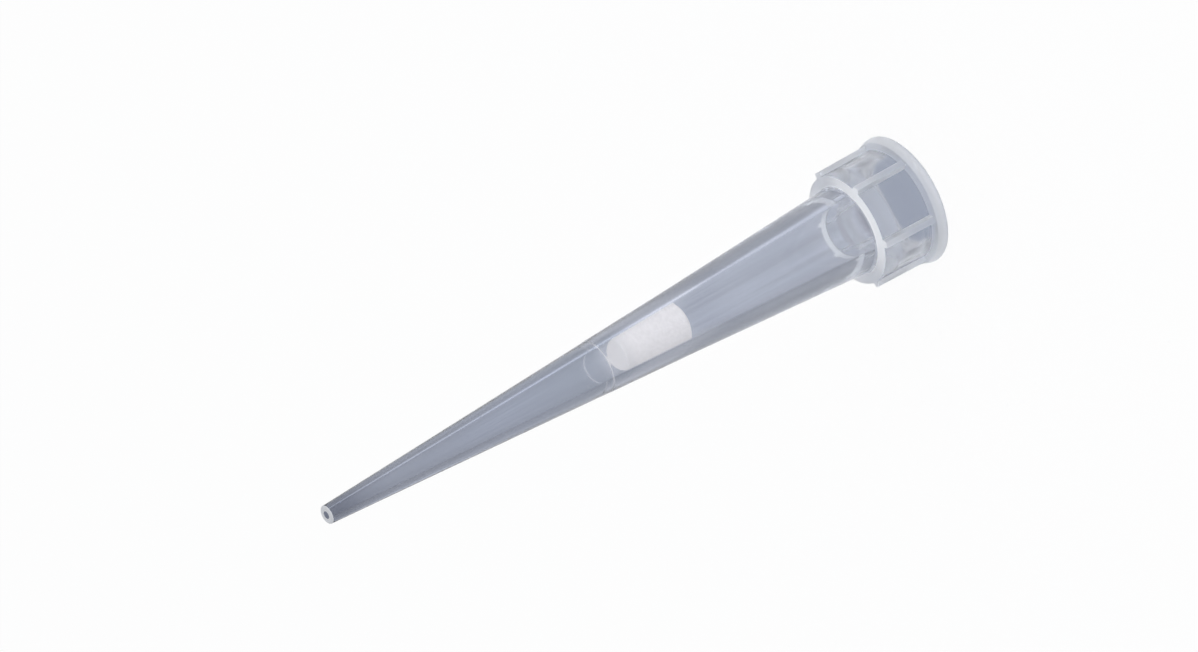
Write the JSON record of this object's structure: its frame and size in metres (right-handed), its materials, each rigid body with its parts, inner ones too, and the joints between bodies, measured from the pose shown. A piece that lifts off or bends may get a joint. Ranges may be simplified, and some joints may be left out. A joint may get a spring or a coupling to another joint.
{
  "type": "filtered pipette tip",
  "caption": "Short clear tapered tip with a ribbed collar, a flared rim and a white porous plug in its bore, standing on its mouth.",
  "frame": {"origin": "centre of the mouth's rim face, on which the tip stands", "axes": "+Z runs along the bore from the mouth to the orifice, and +X passes through the middle of one rib"},
  "size_m": [0.006, 0.006, 0.032],
  "materials": {
    "clear_polypropylene": "polished mould, clear with a faint cold haze",
    "porous_polyethylene": "sintered, fine grained and white"
  },
  "bodies": {
    "root": {"tip_body": "clear_polypropylene", "aerosol_filter": "porous_polyethylene"}
  },
  "joints": []
}
